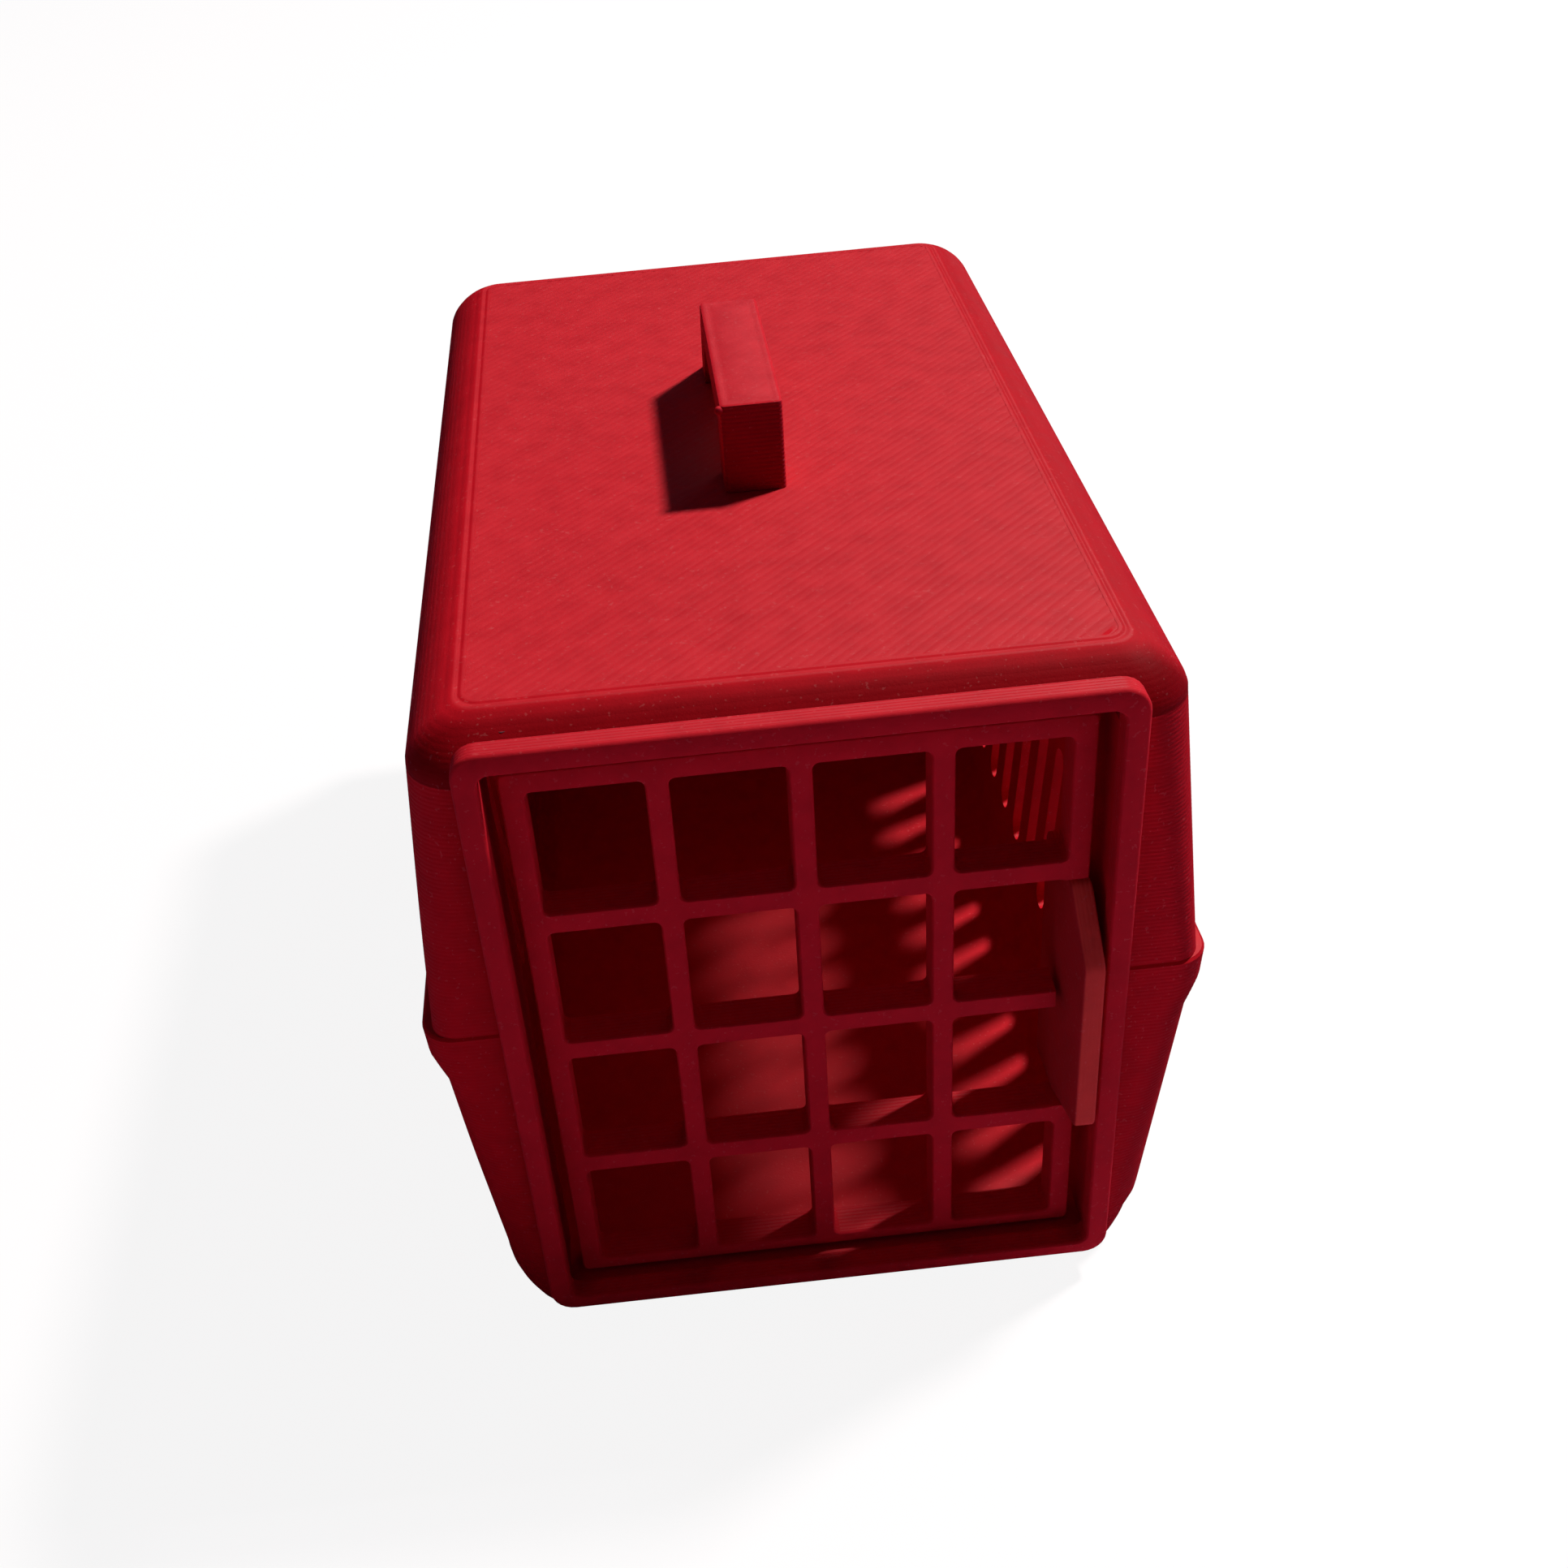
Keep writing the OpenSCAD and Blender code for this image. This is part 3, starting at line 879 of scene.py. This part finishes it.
def lever_outline(ease):
    """The lever's side view as (y, z) points, with every corner rounded by ease."""
    y0 = DOOR_Y - LEVER_FRONT
    y1 = DOOR_Y + LEVER_BACK
    corners = [(DOOR_Y, LEVER_Z1), (y0, LEVER_Z1 - LEVER_SLOPE), (y0, LEVER_Z0 + LEVER_LIFT), (y1, LEVER_Z0),
               (y1, LEVER_Z1)]
    points = []
    for i, (y, z) in enumerate(corners):
        here = Vector((y, z))
        before = Vector(corners[i - 1])
        after = Vector(corners[(i + 1) % len(corners)])
        a = here + (before - here).normalized() * ease
        b = here + (after - here).normalized() * ease
        for k in range(5):
            t = k / 4
            points.append(a * (1 - t) ** 2 + here * 2 * t * (1 - t) + b * t * t)
    return points


def lean_front(obj):
    """Leans what is in front of the lever's pin to the right, from a crease at the pin."""
    bm = bmesh.new()
    bm.from_mesh(obj.data)
    whole = bm.verts[:] + bm.edges[:] + bm.faces[:]
    bmesh.ops.bisect_plane(bm, geom=whole, plane_co=(0, DOOR_MID_Y * MM, 0), plane_no=(0, 1, 0))
    reach = (DOOR_MID_Y - DOOR_Y + LEVER_FRONT) * MM
    for v in bm.verts:
        ahead = max(0, DOOR_MID_Y * MM - v.co.y) / reach
        v.co.x += LEVER_SET * MM * ahead
    bm.to_mesh(obj.data)
    bm.free()


def latch_lever():
    base = lever_outline(LEVER_CORNER)
    centre = Vector((sum(p.x for p in base) / len(base), sum(p.y for p in base) / len(base)))
    rings = []
    half = BAR_W / 2
    edge = LEVER_EASE
    stops = [(-half, edge), (-half + 0.3 * edge, 0.45 * edge), (-half + edge, 0)]
    for k in range(1, LEVER_LINES):
        x = -half + k * BAR_W / LEVER_LINES
        stops += [(x - PLATE_GROOVE_HALF, 0), (x, PLATE_GROOVE), (x + PLATE_GROOVE_HALF, 0)]
    stops += [(half - edge, 0), (half - 0.3 * edge, 0.45 * edge), (half, edge)]
    for x, inset in stops:
        ring = []
        for p in base:
            q = p + (centre - p).normalized() * inset * 1.2
            ring.append((LATCH_X + x, q.x, q.y))
        rings.append(ring)
    lever = stack("latch_lever_print", rings)
    lean_front(lever)
    side = LATCH_X + BAR_W / 2
    y1 = DOOR_Y + LEVER_BACK
    tip = side + HOOK_REACH
    plan = [(LATCH_X, HOOK_Y), (tip - HOOK_EASE, HOOK_Y), (tip, HOOK_Y + HOOK_EASE),
            (tip - HOOK_BACK, y1 - HOOK_SINK), (LATCH_X, y1 - HOOK_SINK)]
    hook = stack("hook", [[(x, y, z) for x, y in plan] for z in (HOOK_Z, HOOK_Z + HOOK_H)])
    cut(lever, hook, "UNION")
    cut(lever, rod("run", (LATCH_X, DOOR_MID_Y, LEVER_Z0 - 1), (LATCH_X, DOOR_MID_Y, LEVER_Z1 + 1),
                   WIRE_RUN_D))
    return finish_mesh(lever)


def handle_ring(z, height, inset):
    """The handle's outline at z, with its raked back taken at the given height above the roof."""
    back = HANDLE_BACK_Y + HANDLE_RAKE * (1 - height / HANDLE_H)
    return [(x, y, z) for x, y in outline(HANDLE_W - 2 * inset, HANDLE_FRONT_Y + inset, back - inset,
                                          HANDLE_EDGE_R - inset, 20, 6, 5)]


def blob(centre, r):
    """A small drop of plastic where a line began."""
    rings = []
    for k in range(1, 8):
        a = math.pi * k / 8
        rings.append([(centre[0] + r * math.sin(a) * math.cos(t * math.pi / 8),
                       centre[1] + r * math.sin(a) * math.sin(t * math.pi / 8),
                       centre[2] - r * math.cos(a)) for t in range(16)])
    return stack("blob", rings)


def carry_handle():
    top = ROOF_Z + HANDLE_H
    rings = []
    count = round(HANDLE_H / LAYER)
    for k in range(count):
        low = ROOF_Z + k * LAYER
        high = low + LAYER
        middle = (k + 0.5) * LAYER
        ease = HANDLE_TOP_EASE if k == count - 1 else 0.0
        nick, foot = GROOVE
        for z, inset in ((low + NICK_AT, nick), (low + foot, 0), (high - 0.06, ease * 0.3),
                         (high - 0.02, nick + ease)):
            rings.append(handle_ring(z, middle, inset))
    for inset, drop in HANDLE_BEADS:
        rings.append(handle_ring(top - drop, HANDLE_H - LAYER / 2, inset))
    handle = stack("carry_handle_print", rings)
    grip_h = HANDLE_H - HANDLE_BAR
    back = HANDLE_BACK_Y + HANDLE_RAKE - HANDLE_LEG
    front = HANDLE_FRONT_Y + HANDLE_LEG
    lean = HANDLE_RAKE / HANDLE_H
    side = [(front, ROOF_Z - 1), (back + lean, ROOF_Z - 1),
            (back - lean * grip_h, ROOF_Z + grip_h), (front, ROOF_Z + grip_h)]
    cut(handle, stack("grip", [[(x, y, z) for y, z in side] for x in (-HANDLE_W, HANDLE_W)]))
    for y in TENON_YS:
        h = TENON_W / 2
        cut(handle, block("tenon", (-h, y - h, ROOF_Z - WALL), (h, y + h, ROOF_Z + 0.2)), "UNION")
    cut(handle, blob(BLOB_PLACE, BLOB_R), "UNION")
    return finish_mesh(handle)


# ---------------------------------------------------------------- scene

def camera():
    """The camera as fitted to the straight edges of the carrier in its photograph."""
    data = bpy.data.cameras.new("photo_camera")
    data.lens = CAMERA_LENS
    data.shift_x, data.shift_y = CAMERA_SHIFT
    data.clip_start = 0.002
    obj = bpy.data.objects.new("photo_camera", data)
    bpy.context.collection.objects.link(obj)
    pitch = math.radians(90 - CAMERA_PITCH)
    look = Euler((pitch, 0, -math.radians(CAMERA_HEADING)), "XYZ").to_matrix()
    roll = Euler((0, 0, math.radians(CAMERA_ROLL)), "XYZ").to_matrix()
    obj.matrix_world = (look @ roll).to_4x4()
    obj.location = Vector(CAMERA_PLACE) * MM
    bpy.context.scene.camera = obj


def area_light(name, place, aim, size, power, colour=WHITE, diffuse=True):
    data = bpy.data.lights.new(name, "AREA")
    data.shape = "DISK"
    data.size = size
    data.energy = power
    data.color = colour
    obj = bpy.data.objects.new(name, data)
    obj.location = place
    obj.rotation_euler = (Vector(aim) - Vector(place)).to_track_quat("-Z", "Y").to_euler()
    obj.visible_diffuse = diffuse
    bpy.context.collection.objects.link(obj)


def diffuse_shader(mat, tone):
    node = add_node(mat, "ShaderNodeBsdfDiffuse")
    feed(mat, tone, node.inputs[0])
    return node.outputs[0]


def mix_shader(mat, share, a, b):
    node = add_node(mat, "ShaderNodeMixShader")
    for slot, value in enumerate((share, a, b)):
        feed(mat, value, node.inputs[slot])
    return node.outputs[0]


def floor():
    """A pale sheet, which is seen nearly white. To the carrier it is a pinkish bounce card, dull in sheen."""
    mesh = bpy.data.meshes.new("floor")
    corners = [(-1, -1), (1, -1), (1, 1), (-1, 1)]
    mesh.from_pydata([(x * FLOOR_REACH, y * FLOOR_REACH, 0) for x, y in corners], [], [(0, 1, 2, 3)])
    obj = bpy.data.objects.new("floor", mesh)
    bpy.context.collection.objects.link(obj)
    mat, shader = new_material("pale_sheet")
    feed(mat, FLOOR_TONE, shader.inputs["Base Color"])
    feed(mat, 0.9, shader.inputs["Roughness"])
    glow = add_node(mat, "ShaderNodeEmission")
    feed(mat, WHITE, glow.inputs[0])
    feed(mat, FLOOR_GLOW, glow.inputs[1])
    seen = add_node(mat, "ShaderNodeAddShader")
    feed(mat, shader.outputs[0], seen.inputs[0])
    feed(mat, glow.outputs[0], seen.inputs[1])
    path = add_node(mat, "ShaderNodeLightPath").outputs
    unseen = mix_shader(mat, path["Is Glossy Ray"], diffuse_shader(mat, FLOOR_BOUNCE),
                        diffuse_shader(mat, FLOOR_IN_GLOSS))
    whole = mix_shader(mat, path["Is Camera Ray"], unseen, seen.outputs[0])
    feed(mat, whole, mat.node_tree.nodes["Material Output"].inputs[0])
    paint(obj, mat)


def studio():
    """A small warm key from the right and slightly behind, a low light that only adds sheen, a trace of
    red inside the cabin, and a dim even fill."""
    aim = Vector(AIM)
    key = aim + Vector(KEY_WAY).normalized() * KEY_FAR
    area_light("key", key, aim, size=0.066, power=4.4, colour=(1.0, 0.97, 0.95))
    area_light("sheen", (0.34, 0.42, 0.16), aim, size=0.20, power=0.3, diffuse=False)
    area_light("glow", (0, -0.007, 0.029), (0, -0.010, 0), size=0.014, power=0.0004, colour=(1.0, 0.02, 0.10))
    world = bpy.data.worlds.new("studio")
    bpy.context.scene.world = world
    world.use_nodes = True
    background = world.node_tree.nodes["Background"]
    seen = add_node(world, "ShaderNodeLightPath").outputs["Is Camera Ray"]
    feed(world, mix_colour(world, seen, FILL_TINT, WHITE), background.inputs[0])
    feed(world, mix_number(world, seen, FILL, 1.0), background.inputs[1])
    bpy.context.scene.view_settings.view_transform = "Standard"


# The shell's red has painted shade in the crevice above its front rounding and on its faces turned to the
# right
shell_mat = printed_plastic("shell_red_with_painted_shade", SHELL_TONE, 2, raster=False,
                            crevice_painted_shade=(FRONT_Y + ROOF_R, FRONT_Y + 1.3, ROUND_Z),
                            facing_painted_shade=(0, 0.05, 0.4, PAINTED_RIGHT_SIDE_SHADE))
flat_mat = printed_plastic("trim_red", TRIM_TONE, 1)
# The lever's lighter tone is painted light, and its left sides have painted shade
lever_mat = printed_plastic("lever_red_with_painted_light_and_shade", LEVER_TONE_WITH_PAINTED_LIGHT, 0, facing_painted_shade=(0, -0.3, -0.7, PAINTED_LEVER_LEFT_SIDE_SHADE))
# The handle's front faces have painted shade
handle_mat = printed_plastic("handle_red_with_painted_shade", TRIM_TONE, 2, facing_painted_shade=(1, -0.5, -0.7, PAINTED_HANDLE_FRONT_SHADE))
dowel_mat = printed_plastic("dowel_red", SHELL_TONE, 2, raster=False)
wire_mat = drawn_wire("drawn_wire")

PIECES = ((lower_shell, "lower_shell", "carrier", shell_mat, "printed_shell"),
          (upper_shell, "upper_shell", "carrier", shell_mat, "printed_shell"),
          (front_surround, "front_surround", "carrier", flat_mat, "printed_trim"),
          (door_grille, "door_grille", "door", flat_mat, "printed_trim"),
          (latch_lever, "latch_lever", "latch", lever_mat, "printed_trim"),
          (carry_handle, "carry_handle", "carrier", handle_mat, "printed_trim"))

for build, node, body, mat, slot in PIECES:
    piece = build()
    paint(piece, mat)
    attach(piece, body)
    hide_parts(node)

paint(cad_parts["shell_dowels"], dowel_mat)
for pin in ("upper_hinge_pin", "lower_hinge_pin", "latch_pivot_pin", "surround_pegs"):
    paint(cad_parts[pin], wire_mat)

floor()
studio()
camera()
